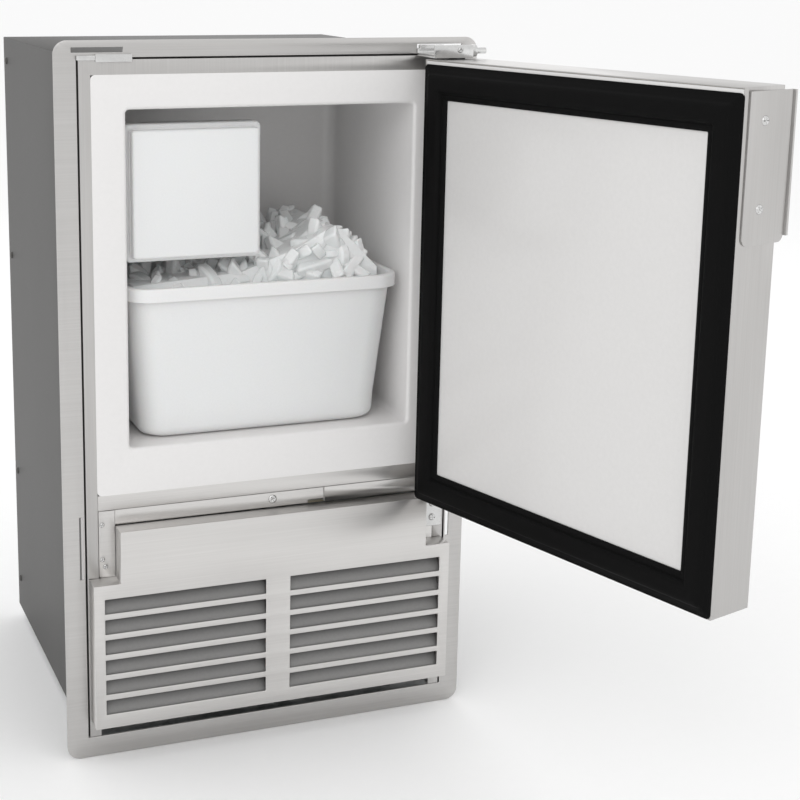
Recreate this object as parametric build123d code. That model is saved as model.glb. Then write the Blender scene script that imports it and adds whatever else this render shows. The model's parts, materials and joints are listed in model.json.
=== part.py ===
from build123d import *
import os

# Built-in ice maker with a mounting flange, door open. Millimetres, +Z up, front towards -Y.
# The origin is the centre of the cabinet's underside.

# ---- cabinet ----
cabinet_width = 355.0
cabinet_height = 629.0
cabinet_depth = 350.0
sheet = 1.0                 # painted outer sheet
front = -cabinet_depth / 2  # front face of the flange and the face frame
rear = cabinet_depth / 2
half = cabinet_width / 2
lap_gap = 0.3               # between pieces that lie against each other

# ---- mounting flange ----
flange_side = 20.0          # flange beyond the cabinet at each side
flange_top = 15.0
flange_bottom = 13.0
flange_plate = 2.0
flange_radius = 12.0
flange_lip = 10.0           # length of the return lip round the cabinet
sill_notch = 3.0            # wrapper cut back behind the flange's lower bar
flange_sill = 6.5           # the lower bar rises this far above the underside
hook_slot = (137.0, 182.0)  # slots that take the upper hinge, on either side
hook_slot_height = 4.5
side_slot_width = 3.3       # upright slots level with the lower hinge
side_slot_z = (161.5, 221.0)

# ---- front frame ----
strip = 12.0                # steel strip between flange and liner rim
strip_top = 14.6
face_depth = 12.0
rail_height = 14.5          # steel rail under the liner rim
rail_z = 225.0              # lower edge of that rail
ledge_height = 14.0
ledge_set_back = 0.5
corner_plate_drop = 56.0    # plates at both ends of the ledge

hook_slot_z = cabinet_height + lap_gap + sheet + 3.2

# ---- liner and cavity ----
rim_side = 29.8
rim_top = 29.4
rim_bottom = 41.1
liner_wall = 2.0
cavity_depth = 205.0
rim_z0 = rail_z + rail_height
rim_z1 = cabinet_height - strip_top
rim_x = half - strip
cavity_x = rim_x - rim_side
cavity_z0 = rim_z0 + rim_bottom
cavity_z1 = rim_z1 - rim_top
cavity_back = front + cavity_depth
cavity_corner = 14.0        # vertical corners of the cavity

# ---- machine space ----
deck_z = 204.0              # plate over the machine space
deck_plate = 1.2
base_plate = 1.5

# ---- lower grille ----
grille_proud = 20.0         # front of the grille ahead of the flange face
grille_half = 175.0
grille_z0 = 23.0
grille_z1 = 210.0
grille_sheet = 1.2
notch_width = 25.0
notch_height = 48.5
slot_rows = 6
slot_pitch = 19.5
slot_height = 14.0
slot_inner = 12.0           # from the centre line to a slot's near end
slot_length = 153.0
slot_first = 148.0          # top of the highest slot
louvre_sheet = 0.8
louvre_reach = 10.0         # how far back a blade leans
louvre_lap = 2.0            # blade beyond the slot, above and below

# ---- door ----
door_width = 354.0
door_z0 = 213.0
door_z1 = 626.0
door_body = 48.0
door_sheet = 1.0
gasket_height = 6.0
gasket_gap = 1.0            # gasket to flange face when shut
door_gap = gasket_height + gasket_gap
gasket_band = 27.0
gasket_margin = 4.0
gasket_round = 5.5          # lets the hinge-side edge swing past the frame
opening_angle = 106.3       # the door stands this far open
pivot_x = 162.3
pivot_y = front - 30.9
pin_radius = 3.5
pin_clearance = 0.05
bush_wall = 2.0
bush_length = 12.0
bush_flange = 1.0

# ---- handle ----
handle_height = 115.0
handle_drop = 3.0          # below the door's top
handle_plate = 2.0
handle_lip = 4.0            # finger lip ahead of the door's front
handle_hook = 3.0

# ---- bin and ice ----
bin_left_gap = 1.7          # rim to cavity wall
bin_right_gap = 6.1         # more on the hinge side, so the bin slides out past the open door
bin_front_gap = 3.0
bin_wall = 2.5
bin_rim = 9.0
bin_height = 143.0
bin_depth = 190.0
bin_taper = 9.0
bin_floor_gap = 1.0
bin_corner = 22.0

# ---- ice maker head ----
head_left_gap = 4.0
cover_width = 126.0
cover_height = 123.0
cover_top_gap = 15.5
cover_depth = 30.0
cover_wall = 2.2
cover_set_back = 10.0
mould_length = 126.0
mould_width = 78.0
mould_height = 42.0
mould_cups = 7
mould_rib = 2.0
ejector_radius = 4.0
arm_radius = 1.6

# ---- fan and machinery ----
fan_radius = 68.0
fan_hub = 16.0
fan_shaft_radius = 2.5
fan_clearance = 0.05
shroud_bore_gap = 3.0
compressor_width = 118.0
compressor_depth = 92.0
compressor_height = 118.0
screw_head = 4.2


def block(x0, x1, y0, y1, z0, z1):
    size = (x1 - x0, y1 - y0, z1 - z0)
    return Pos((x0 + x1) / 2, (y0 + y1) / 2, (z0 + z1) / 2) * Box(*size)


def rod_x(radius, x0, x1, y, z):
    return Pos((x0 + x1) / 2, y, z) * Rot(0, 90, 0) * Cylinder(radius, x1 - x0)


def rod_y(radius, y0, y1, x, z):
    return Pos(x, (y0 + y1) / 2, z) * Rot(90, 0, 0) * Cylinder(radius, y1 - y0)


def rod_z(radius, z0, z1, x, y):
    return Pos(x, y, (z0 + z1) / 2) * Cylinder(radius, z1 - z0)


def plate_y(outline, y0, y1):
    """A flat outline in X and Z, standing from y0 to y1."""
    face = Plane.XZ * outline
    return Pos(0, y1, 0) * extrude(face, y1 - y0)


def rounded(x0, x1, z0, z1, radius):
    return Pos((x0 + x1) / 2, (z0 + z1) / 2) * RectangleRounded(x1 - x0, z1 - z0, radius)


def rectangle(x0, x1, z0, z1):
    return Pos((x0 + x1) / 2, (z0 + z1) / 2) * Rectangle(x1 - x0, z1 - z0)


def bent_tube(points, radii, radius):
    path = FilletPolyline(*points, radius=radii)
    start = Plane(path @ 0, z_dir=path % 0)
    return sweep(start * Circle(radius), path)


def swung(shape):
    """Turns a door piece from shut to where it stands open."""
    return shape.rotate(Axis((pivot_x, pivot_y, 0), (0, 0, 1)), opening_angle)


# ---------------- cabinet ----------------
def cabinet_wrapper():
    outer = block(-half, half, front + flange_plate, rear, 0, cabinet_height)
    inner = block(-half + sheet, half - sheet, front, rear + 1, -1, cabinet_height - sheet)
    notch = block(-half - 1, half + 1, front - 1, front + flange_plate + sill_notch, -1,
                  flange_sill + lap_gap)
    return outer - inner - notch


def base_pan():
    x = half - sheet
    y0 = front + face_depth + lap_gap
    pan = block(-x, x, y0, rear, 0, base_plate)
    lip = block(-x, x, y0, y0 + base_plate, base_plate, base_plate + 14)
    return pan + lip


rear_vent_rows = 7
rear_vent_pitch = 12.0
rear_vent_size = (46.0, 5.0)


def rear_panel():
    x = half - sheet
    panel = block(-x, x, rear - sheet, rear, base_plate, cabinet_height - sheet)
    for side in (-1, 1):
        for row in range(rear_vent_rows):
            z = 60 + row * rear_vent_pitch
            w, h = rear_vent_size
            centre = side * 95
            panel -= block(centre - w / 2, centre + w / 2, rear - 2, rear + 1, z, z + h)
    panel -= block(inlet_x - inlet_w / 2, inlet_x + inlet_w / 2, rear - 2, rear + 1,
                   inlet_z - inlet_h / 2, inlet_z + inlet_h / 2)
    panel -= rod_y(valve_neck + 1, rear - 2, rear + 1, valve_x, valve_z)
    return panel


def trim_flange():
    ring = rounded(-half - flange_side, half + flange_side, -flange_bottom,
                   cabinet_height + flange_top, flange_radius)
    hole = rectangle(-half - lap_gap, half + lap_gap, flange_sill, cabinet_height + lap_gap)
    plate = plate_y(ring - hole, front, front + flange_plate)
    y0, y1 = front + flange_plate, front + flange_plate + flange_lip
    x0, x1 = half + lap_gap, half + lap_gap + sheet
    top = cabinet_height + lap_gap
    lips = block(-x1, -x0, y0, y1, 0, top + sheet)
    lips += block(x0, x1, y0, y1, 0, top + sheet)
    lips += block(-x1, x1, y0, y1, top, top + sheet)
    whole = plate + lips
    for side in (-1, 1):
        a, b = sorted((side * hook_slot[0], side * hook_slot[1]))
        whole -= block(a, b, front - 1, y0 + 1, hook_slot_z, hook_slot_z + hook_slot_height)
        a, b = sorted((side * (x1 + 0.6), side * (x1 + 0.6 + side_slot_width)))
        whole -= block(a, b, front - 1, y0 + 1, side_slot_z[0], side_slot_z[1])
    return whole


def face_frame():
    x = half - sheet - lap_gap
    top = cabinet_height - sheet - lap_gap
    sides = []
    for side in (-1, 1):
        a, b = sorted((side * x, side * rim_x))
        sides.append(block(a, b, front, front + face_depth, flange_sill + lap_gap, top))
    frame = sides[0] + sides[1]
    return frame + block(-rim_x, rim_x, front, front + face_depth, rim_z1, top)


def cross_rail():
    return block(-rim_x, rim_x, front, front + face_depth, rail_z, rim_z0)


seam_x = 52.0
ledge_notch = (36.0, 52.0)


def lower_ledge():
    y0 = front + ledge_set_back
    z1 = rail_z - lap_gap
    z0 = z1 - ledge_height
    x = grille_half - notch_width
    ledge = block(-x, x, y0, front + face_depth, z0, z1)
    ledge -= block(seam_x - 0.4, seam_x + 0.4, y0 - 1, y0 + 1.5, z0 - 1, z1 + 1)
    return ledge - block(*ledge_notch, y0 - 1, y0 + 6, z0 - 1, z0 + 3)


corner_holes = ((-162.2, 212.0), (-162.2, 179.0), (-159.5, 172.0))


def corner_plates():
    x0, x1 = grille_half - notch_width + lap_gap, rim_x - lap_gap
    z1 = rail_z - lap_gap
    z0 = z1 - corner_plate_drop - ledge_height
    plates = []
    for side in (-1, 1):
        a, b = sorted((side * x0, side * x1))
        plate = block(a, b, front, front + 2, z0, z1)
        a, b = sorted((side * x0, side * (x0 + 1.5)))
        plates.append(plate + block(a, b, front + 2, front + face_depth, z0, z1))
    return plates


# ---------------- liner and insulation ----------------
def cavity_liner():
    rim = block(-rim_x, rim_x, front, front + face_depth, rim_z0, rim_z1)
    w = liner_wall
    tub = block(-cavity_x - w, cavity_x + w, front, cavity_back + w, cavity_z0 - w, cavity_z1 + w)
    hole = block(-cavity_x, cavity_x, front - 1, cavity_back, cavity_z0, cavity_z1)
    back = hole.edges().filter_by(Axis.Z).group_by(Axis.Y)[-1]
    hole = fillet(back, cavity_corner)
    mouth = rim + tub - hole - rod_y(fill_radius, cavity_back - 1, cavity_back + w + 1, fill_x, fill_z)
    lip = [e for e in mouth.edges().group_by(Axis.Y)[0] if abs(e.center().X) <= cavity_x
           and cavity_z0 - 1 < e.center().Z < cavity_z1 + 1]
    return fillet(lip, 3)


def foam_space():
    x = half - sheet
    return block(-x, x, front + face_depth, rear - sheet, deck_z + deck_plate, cabinet_height - sheet)


def foam_insulation():
    w = liner_wall
    foam = foam_space()
    foam -= block(-cavity_x - w, cavity_x + w, front, cavity_back + w, cavity_z0 - w, cavity_z1 + w)
    foam -= block(-half, half, front, front + face_depth + 3, 0, rail_z)
    foam -= evaporator_pocket()
    return foam - bent_tube(fill_path(), fill_bend, fill_radius)


evaporator_w = 220.0
evaporator_h = 230.0
evaporator_t = 1.5
coil_radius = 4.0


def evaporator_pocket():
    y = cavity_back + liner_wall
    z = (cavity_z0 + cavity_z1) / 2
    thick = evaporator_t + 2 * coil_radius
    return block(-evaporator_w / 2, evaporator_w / 2, y, y + thick,
                 z - evaporator_h / 2, z + evaporator_h / 2)


def evaporator_plate():
    y = cavity_back + liner_wall
    z = (cavity_z0 + cavity_z1) / 2
    return block(-evaporator_w / 2, evaporator_w / 2, y, y + evaporator_t,
                 z - evaporator_h / 2, z + evaporator_h / 2)


def evaporator_coil():
    y = cavity_back + liner_wall + evaporator_t + coil_radius
    z = (cavity_z0 + cavity_z1) / 2
    runs = 5
    pitch = (evaporator_h - 40) / (runs - 1)
    x = evaporator_w / 2 - 16
    points = []
    for i in range(runs):
        ends = (-x, x) if i % 2 == 0 else (x, -x)
        for end in ends:
            points.append((end, y, z - (runs - 1) * pitch / 2 + i * pitch))
    return bent_tube(points, 14.0, coil_radius - 0.2)


def machine_deck():
    x = half - sheet
    y0 = front + face_depth + 3
    deck = block(-x, x, y0, rear - sheet, deck_z, deck_z + deck_plate)
    return deck - rod_z(fill_radius + 1, deck_z - 1, deck_z + 3, fill_x, fill_y)


# ---------------- lower grille ----------------
def grille_outline(inset):
    g, z0, z1 = grille_half - inset, grille_z0 + inset, grille_z1 - inset
    n = notch_width
    shoulder = grille_z1 - notch_height - inset
    body = rectangle(-g, g, z0, shoulder)
    return body + rectangle(-g + n, g - n, shoulder, z1)


def grille_slots():
    slots = []
    for side in (-1, 1):
        for row in range(slot_rows):
            z1 = slot_first - row * slot_pitch
            a, b = sorted((side * slot_inner, side * (slot_inner + slot_length)))
            slots.append((a, b, z1 - slot_height, z1))
    return slots


def toe_grille():
    y0 = front - grille_proud
    shell = plate_y(grille_outline(0), y0, front - lap_gap)
    shell -= plate_y(grille_outline(grille_sheet), y0 + grille_sheet, front + 1)
    for a, b, z0, z1 in grille_slots():
        shell -= block(a, b, y0 - 1, y0 + grille_sheet + 1, z0, z1)
    return shell


def grille_louvres():
    """Blades that rise inwards from each slot's lower edge and hide what is behind."""
    y0 = front - grille_proud + grille_sheet + lap_gap
    y1 = y0 + louvre_reach
    t = louvre_sheet * 1.4
    whole = None
    for a, b, z0, z1 in grille_slots():
        low, high = z0 - louvre_lap, z1 + louvre_lap
        profile = Polyline((y0, low), (y1, high), (y1 + t, high), (y0 + t, low), close=True)
        blade = Pos(a - 1, 0, 0) * extrude(Plane.YZ * make_face(profile), b - a + 2)
        whole = blade if whole is None else whole + blade
    z1 = slot_first + louvre_lap
    z0 = slot_first - (slot_rows - 1) * slot_pitch - slot_height - louvre_lap
    for side in (-1, 1):
        for x in (slot_inner - 2, slot_inner + slot_length + 2):
            whole += block(side * x - 1, side * x + 1, y1 - 1, y1 + 3, z0, z1)
    return whole


# ---------------- hinges on the cabinet ----------------
bracket_plate = 3.0
upstand_height = 8.5
bracket_z = door_z1 + 1.5


def upper_hinge_bracket():
    z0, z1 = bracket_z, bracket_z + bracket_plate
    y1 = front - lap_gap
    y0 = pivot_y - 9
    foot = block(pivot_x - 26, pivot_x + 12, y1 - bracket_plate, y1, z1, hook_slot_z + 0.4)
    hook = block(hook_slot[0] + 2, pivot_x, y1 - bracket_plate, front + flange_plate - 0.3,
                 hook_slot_z + 0.4, hook_slot_z + hook_slot_height - 0.6)
    foot += hook
    upstand = block(pivot_x - 26, pivot_x + 12, y0, y0 + 2, z1, z1 + upstand_height)
    arm = block(pivot_x - 26, pivot_x + 12, y0, y1, z0, z1)
    return arm + foot + upstand - rod_z(pin_radius, z0 - 1, z1 + 1, pivot_x, pivot_y)


def hinge_stop():
    """The stop pin that sets how far the door opens, at the bracket's outer end."""
    x0 = pivot_x + 12
    z = bracket_z + 6
    return rod_x(5.5, x0, x0 + 5, pivot_y - 2, z) + rod_x(2.8, x0 + 5, x0 + 15, pivot_y - 2, z)


def upper_hinge_pin():
    z1 = bracket_z + bracket_plate
    pin = rod_z(pin_radius, door_z1 - bush_length + 1, z1, pivot_x, pivot_y)
    return pin + rod_z(pin_radius + 2.5, z1, z1 + 2.5, pivot_x, pivot_y)


lower_bracket_z = door_z0 - 1.5


def lower_hinge_bracket():
    z1 = lower_bracket_z
    z0 = z1 - bracket_plate
    y1 = front - lap_gap
    x0, x1 = pivot_x - 9, pivot_x + 11
    arm = block(x0, x1, pivot_y - 9, y1, z0, z1)
    arm = fillet(arm.edges().filter_by(Axis.Z).group_by(Axis.Y)[0], 6)
    web = block(x0, x1, y1 - bracket_plate, y1, z0 - 34, z0)
    return arm + web - rod_z(pin_radius, z0 - 1, z1 + 1, pivot_x, pivot_y)


def lower_hinge_pin():
    z0 = lower_bracket_z - bracket_plate
    pin = rod_z(pin_radius, z0, door_z0 + bush_length - 1, pivot_x, pivot_y)
    return pin + rod_z(pin_radius + 2, z0 - 2, z0, pivot_x, pivot_y)


def screw_head_on(seat, radius):
    """A domed screw head standing 1.7 mm out of its seat."""
    return seat * Cone(radius, radius * 0.58, 1.7, align=(Align.CENTER, Align.CENTER, Align.MIN))


def screw_y(x, y, z, radius=screw_head):
    return screw_head_on(Pos(x, y, z) * Rot(90, 0, 0), radius)


def hinge_screws():
    upper = screw_y(pivot_x - 1, pivot_y - 9, bracket_z + bracket_plate + 4, 2.6)
    y = front - lap_gap - bracket_plate
    x = pivot_x + 1
    return [upper] + [screw_y(x, y, lower_bracket_z - drop, 3.4) for drop in (14, 28)]


def blanking_clip():
    z1 = hook_slot_z - 1.2
    bar = block(-162, -130, front - 4.5, front - lap_gap, z1 - 6.5, z1)
    return bar + block(-178, -162, front - 3, front - lap_gap, z1 - 5, z1 - 1)


def face_screws():
    screws = [screw_y(0.6, front + ledge_set_back, rail_z - 6.5)]
    return screws + [screw_y(x, front, z, 2.4) for x, z in corner_holes]


def wrapper_screws():
    screws = []
    for side in (-1, 1):
        for z in (35.0, 160.0, 400.0, 605.0):
            screws.append(screw_head_on(Pos(side * half, rear - 14, z) * Rot(0, side * 90, 0), 3.6))
    return screws


def rear_screws():
    screws = []
    for x in (-160.0, -55.0, 55.0, 160.0):
        for z in (20.0, 330.0, 612.0):
            screws.append(screw_head_on(Pos(x, rear, z) * Rot(-90, 0, 0), 3.6))
    return screws


# ---------------- machine space ----------------
compressor_x = -72.0
compressor_y = 78.0
foot_height = 14.0


def compressor():
    z0 = base_plate + foot_height
    shell = Pos(compressor_x, compressor_y, z0 + compressor_height / 2) * Box(
        compressor_width, compressor_depth, compressor_height)
    shell = fillet(shell.edges().filter_by(Axis.Z), 36)
    shell = fillet(shell.edges().filter_by(GeomType.LINE, reverse=True), 18)
    return shell


def compressor_bracket():
    z = base_plate + foot_height
    bar = block(compressor_x - 82, compressor_x + 82, compressor_y - 46, compressor_y + 46, z - 3, z)
    bar -= block(compressor_x - 68, compressor_x + 68, compressor_y - 60, compressor_y - 30, z - 4, z + 1)
    bar -= block(compressor_x - 68, compressor_x + 68, compressor_y + 30, compressor_y + 60, z - 4, z + 1)
    return bar


def compressor_mounts():
    mounts = []
    for dx in (-75, 75):
        for dy in (-38, 38):
            mounts.append(rod_z(7, base_plate, base_plate + foot_height - 3,
                                compressor_x + dx, compressor_y + dy))
    return mounts


fan_x = 78.0
fan_y = 0.0
fan_z = 100.0
motor_gap = 4.0


def fan_shroud():
    bore = fan_radius + shroud_bore_gap
    plate = block(fan_x - 84, fan_x + 84, fan_y - 1.5, fan_y, base_plate, base_plate + 186)
    ring = rod_y(bore + 2, fan_y - 16, fan_y - 1.5, fan_x, fan_z)
    return plate + ring - rod_y(bore, fan_y - 20, fan_y + 5, fan_x, fan_z)


def fan_blades():
    hub = rod_y(fan_hub, fan_y - 14, fan_y + 2, fan_x, fan_z)
    whole = hub
    blades = 5
    for i in range(blades):
        length = fan_radius - fan_hub + 2
        blade = Box(30, 1.8, length)
        blade = fillet(blade.edges().filter_by(Axis.Y).group_by(Axis.Z)[-1], 8)
        blade = Pos(0, 0, fan_hub - 2 + length / 2) * Rot(0, 0, 28) * blade
        whole += Pos(fan_x, fan_y - 6, fan_z) * Rot(0, i * 360 / blades, 0) * blade
    swept = rod_y(fan_radius, fan_y - 18, fan_y + 8, fan_x, fan_z)
    whole = whole & swept
    bore = rod_y(fan_shaft_radius, fan_y - 12, fan_y + 3, fan_x, fan_z)
    return whole - bore


def fan_shaft():
    return rod_y(fan_shaft_radius, fan_y - 12, fan_y + 2 + motor_gap + 8, fan_x, fan_z)


def fan_motor():
    y0 = fan_y + 2 + motor_gap
    body = rod_y(32, y0, y0 + 46, fan_x, fan_z)
    body = fillet(body.edges(), 4)
    bore = fan_shaft_radius + fan_clearance
    return body - rod_y(bore, y0 - 1, y0 + 8.5, fan_x, fan_z)


def fan_bracket():
    y0 = fan_y + 2 + motor_gap + 12
    straps = []
    for dx in (-84, 78):
        straps.append(block(fan_x + dx, fan_x + dx + 6, fan_y, y0 + 8, fan_z - 9, fan_z + 9))
    bar = block(fan_x - 84, fan_x + 84, y0, y0 + 8, fan_z - 9, fan_z + 9)
    return bar + straps[0] + straps[1] - rod_y(32.2, y0 - 2, y0 + 10, fan_x, fan_z)


fin_count = 22
condenser_y0 = front + 30.0
condenser_y1 = front + 78.0
condenser_x0 = -8.0
condenser_x1 = 164.0


def condenser_coil():
    rows = 6
    pitch = 26.0
    x0, x1 = condenser_x0 + 8, condenser_x1 - 8
    z0 = 28.0
    y = (condenser_y0 + condenser_y1) / 2
    points = []
    for i in range(rows):
        ends = (x0, x1) if i % 2 == 0 else (x1, x0)
        for end in ends:
            points.append((end, y, z0 + i * pitch))
    return bent_tube(points, 12.0, 4.0)


def condenser_fins():
    y0, y1 = condenser_y0, condenser_y1
    x0, x1 = condenser_x0 + 26, condenser_x1 - 26
    fins = []
    for i in range(fin_count):
        x = x0 + (x1 - x0) * i / (fin_count - 1)
        fin = block(x - 0.3, x + 0.3, y0, y1, 18, 168)
        for row in range(6):
            fin -= rod_x(4.05, x - 1, x + 1, (y0 + y1) / 2, 28.0 + row * 26.0)
        fins.append(fin)
    return fins


drier_place = (6.0, 136.0)


def filter_drier():
    x, y = drier_place
    return rod_z(10, 60, 150, x, y) + rod_z(3, 40, 60, x, y) + rod_z(3, 150, 170, x, y)


def suction_line():
    z = base_plate + foot_height + compressor_height - 40
    x = compressor_x + compressor_width / 2
    y = compressor_y
    points = [(x, y, z), (x + 20, y, z), (x + 20, y, z + 40), (x + 20, y + 30, z + 40),
              (x + 20, y + 30, deck_z - 3)]
    return bent_tube(points, 9.0, 4.0)


def discharge_line():
    z = base_plate + foot_height + 40
    x = compressor_x
    y = compressor_y - compressor_depth / 2
    points = [(x, y, z), (x, y - 40, z), (x - 50, y - 40, z), (x - 50, front + 50, z)]
    return bent_tube(points, 9.0, 3.2)


valve_x = 132.0
valve_z = 60.0
valve_neck = 9.0
stub_radius = 3.175
stub_length = 22.0


def water_valve():
    y = rear - 1
    body = block(valve_x - 16, valve_x + 16, y - 34, y - 4, valve_z - 14, valve_z + 14)
    coil = rod_z(13, valve_z + 14, valve_z + 46, valve_x, y - 20)
    neck = rod_y(valve_neck, y - 5, rear + 4, valve_x, valve_z)
    outlet = rod_x(4, valve_x - 30, valve_x - 15, y - 20, valve_z)
    return body + coil + neck + outlet


def inlet_stub():
    return rod_y(stub_radius, rear + 4, rear + 4 + stub_length, valve_x, valve_z)


fill_radius = 5.0
fill_bend = 9.0
fill_x = -92.0
fill_y = rear - 21.0
fill_z = 555.0
fill_low = 30.0


def fill_path():
    x0 = valve_x - 30
    return [(x0, fill_y, valve_z), (x0 - 20, fill_y, valve_z), (x0 - 20, fill_y, fill_low),
            (fill_x, fill_y, fill_low), (fill_x, fill_y, fill_z), (fill_x, cavity_back - 8, fill_z)]


def fill_tube():
    return bent_tube(fill_path(), fill_bend, fill_radius - lap_gap)


inlet_x = 40.0
inlet_z = 55.0
inlet_w = 48.0
inlet_h = 28.0


def power_inlet():
    body = block(inlet_x - inlet_w / 2 + 0.2, inlet_x + inlet_w / 2 - 0.2, rear - 22, rear,
                 inlet_z - inlet_h / 2 + 0.2, inlet_z + inlet_h / 2 - 0.2)
    flange = block(inlet_x - inlet_w / 2 - 4, inlet_x + inlet_w / 2 + 4, rear, rear + 2,
                   inlet_z - inlet_h / 2 - 3, inlet_z + inlet_h / 2 + 3)
    recess = block(inlet_x - 12, inlet_x + 12, rear - 16, rear + 3, inlet_z - 8, inlet_z + 8)
    whole = body + flange - recess
    for dx in (-7, 0, 7):
        blade = block(inlet_x + dx - 1, inlet_x + dx + 1, rear - 16.5, rear - 3, inlet_z - 2, inlet_z + 2)
        whole += blade
    return whole


def control_box():
    outer = block(-170, -102, front + 40, front + 110, base_plate + 90, base_plate + 190)
    return outer - block(-168.5, -103.5, front + 41.5, front + 108.5, base_plate + 91.5, base_plate + 188.5)


# ---------------- ice maker head ----------------
cover_x0 = -cavity_x + head_left_gap
cover_x1 = cover_x0 + cover_width
cover_z1 = cavity_z1 - cover_top_gap
cover_z0 = cover_z1 - cover_height
cover_y0 = front + cover_set_back
cover_y1 = cover_y0 + cover_depth
mould_x = cover_x0 + 12 + mould_width / 2
mould_y0 = cover_y1 + 10.0
mould_y1 = mould_y0 + mould_length
mould_z1 = cover_z0 + 66.0
shaft_z = mould_z1 + 7.0


def head_cover():
    outer = plate_y(rounded(cover_x0, cover_x1, cover_z0, cover_z1, 7), cover_y0, cover_y1)
    w = cover_wall
    inner = plate_y(rounded(cover_x0 + w, cover_x1 - w, cover_z0 + w, cover_z1 - w, 5),
                    cover_y0 + w, cover_y1 + 1)
    outer = fillet(outer.faces().sort_by(Axis.Y)[0].edges(), 4)
    return outer - inner


def drive_housing():
    w = cover_wall + 1
    outline = rounded(cover_x0 + w, cover_x1 - w, cover_z0 + w, cover_z1 - w, 5)
    body = plate_y(outline, cover_y0 + 8, mould_y0 - 1)
    hollow = block(cover_x0 + w + 2, cover_x1 - w - 2, cover_y0 + 7, mould_y0 - 3,
                   cover_z0 + w + 2, cover_z1 - w - 2)
    body -= hollow
    body -= rod_y(ejector_radius + 0.06, mould_y0 - 4, mould_y0, mould_x, shaft_z)
    return body - rod_y(arm_radius + 0.06, mould_y0 - 4, mould_y0, arm_x, arm_z)


def drive_motor():
    y0 = cover_y0 + 10
    return rod_y(20, y0, y0 + 20, mould_x + 6, cover_z0 + 30)


def mould_tray():
    x0, x1 = mould_x - mould_width / 2, mould_x + mould_width / 2
    z0 = mould_z1 - mould_height
    body = block(x0, x1, mould_y0, mould_y1, z0, mould_z1)
    trough = mould_width / 2 - 5
    pitch = (mould_length - mould_rib) / mould_cups
    for i in range(mould_cups):
        y = mould_y0 + mould_rib + i * pitch
        body -= rod_y(trough, y, y + pitch - mould_rib, mould_x, mould_z1)
    ears = block(-cavity_x + 0.3, x0, mould_y0 + 20, mould_y0 + 40, mould_z1 - 12, mould_z1 - 4)
    ears += block(-cavity_x + 0.3, x0, mould_y1 - 40, mould_y1 - 20, mould_z1 - 12, mould_z1 - 4)
    return body + ears


def mould_heater():
    z = mould_z1 - mould_height
    x0, x1 = mould_x - 22, mould_x + 22
    points = [(x0, mould_y0 + 12, z - 3.2), (x0, mould_y1 - 8, z - 3.2),
              (x1, mould_y1 - 8, z - 3.2), (x1, mould_y0 + 12, z - 3.2)]
    return bent_tube(points, 20.0, 3.0)


def ejector():
    shaft = rod_y(ejector_radius, mould_y0 - 8, mould_y1 + 6, mould_x, shaft_z)
    pitch = (mould_length - mould_rib) / mould_cups
    for i in range(mould_cups):
        y = mould_y0 + mould_rib + (i + 0.5) * pitch - 1
        finger = block(mould_x - 28, mould_x, y - 1.5, y + 1.5, shaft_z - 2.5, shaft_z + 2.5)
        shaft += finger
    return shaft


def ejector_bearing():
    y0 = mould_y1 + 0.5
    post = block(mould_x - 9, mould_x + 9, y0, y0 + 6, mould_z1 - 20, shaft_z + 10)
    return post - rod_y(ejector_radius + 0.06, y0 - 1, y0 + 7, mould_x, shaft_z)


def ice_stripper():
    x1 = mould_x + mould_width / 2
    pitch = (mould_length - mould_rib) / mould_cups
    rail = block(x1 - 5, x1, mould_y0, mould_y1, mould_z1, mould_z1 + 2)
    for i in range(mould_cups + 1):
        y = mould_y0 + i * pitch
        rail += block(mould_x + ejector_radius + 2, x1, y, y + mould_rib, mould_z1, mould_z1 + 2)
    return rail


def fill_cup():
    y0 = mould_y1 + 8
    z0, z1 = mould_z1 - 16, mould_z1 + 22
    cup = block(fill_x - 16, fill_x + 16, y0, cavity_back - 0.5, z0, z1)
    cup -= block(fill_x - 14, fill_x + 14, y0 + 2, cavity_back - 2.5, z0 + 2, z1 + 1)
    return cup


arm_x = mould_x + mould_width / 2 + 8
arm_z = mould_z1 - 8
arm_drop = 52.0


def bail_arm():
    y0, y1 = mould_y0 - 8, mould_y1 - 6
    points = [(arm_x, y0, arm_z), (arm_x, y0 + 22, arm_z), (arm_x, y0 + 22, arm_z - arm_drop),
              (arm_x, y1, arm_z - arm_drop), (arm_x, y1, arm_z - arm_drop + 20)]
    return bent_tube(points, 7.0, arm_radius)


# ---------------- bin ----------------
bin_half = cavity_x - (bin_left_gap + bin_right_gap) / 2
bin_x = (bin_left_gap - bin_right_gap) / 2
bin_y0 = front + bin_front_gap
bin_y1 = bin_y0 + bin_depth
bin_z0 = cavity_z0 + bin_floor_gap
bin_z1 = bin_z0 + bin_height


bin_y = (bin_y0 + bin_y1) / 2
bin_throat = (2 * (bin_half - bin_rim), bin_depth - 2 * bin_rim)


def bin_shape(inset, z0, z1):
    """The tapered body of the bin between two heights, pulled in by inset."""
    wide, deep = (side - 2 * inset for side in bin_throat)
    t = 2 * bin_taper
    low = Plane((bin_x, bin_y, z0)) * RectangleRounded(wide - t, deep - t, bin_corner - inset)
    high = Plane((bin_x, bin_y, z1)) * RectangleRounded(wide, deep, bin_corner - inset)
    return loft([low, high])


def ice_bin():
    body = bin_shape(0, bin_z0, bin_z1 - 3)
    outer = RectangleRounded(2 * bin_half, bin_depth, bin_corner + 6)
    inner = RectangleRounded(2 * bin_half - 4, bin_depth - 4, bin_corner + 4)
    rim = Pos(bin_x, bin_y, bin_z1 - 3) * extrude(outer, 3)
    skirt = Pos(bin_x, bin_y, bin_z1 - 12) * extrude(outer - inner, 9)
    body = fillet(body.edges().group_by(Axis.Z)[0], 8)
    return body + rim + skirt - bin_shape(bin_wall, bin_z0 + bin_wall, bin_z1 + 1)


ice_gap = 0.4
ice_level = 8.0             # the heap's edge lies this far below the rim
heap_high = 50.0


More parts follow.
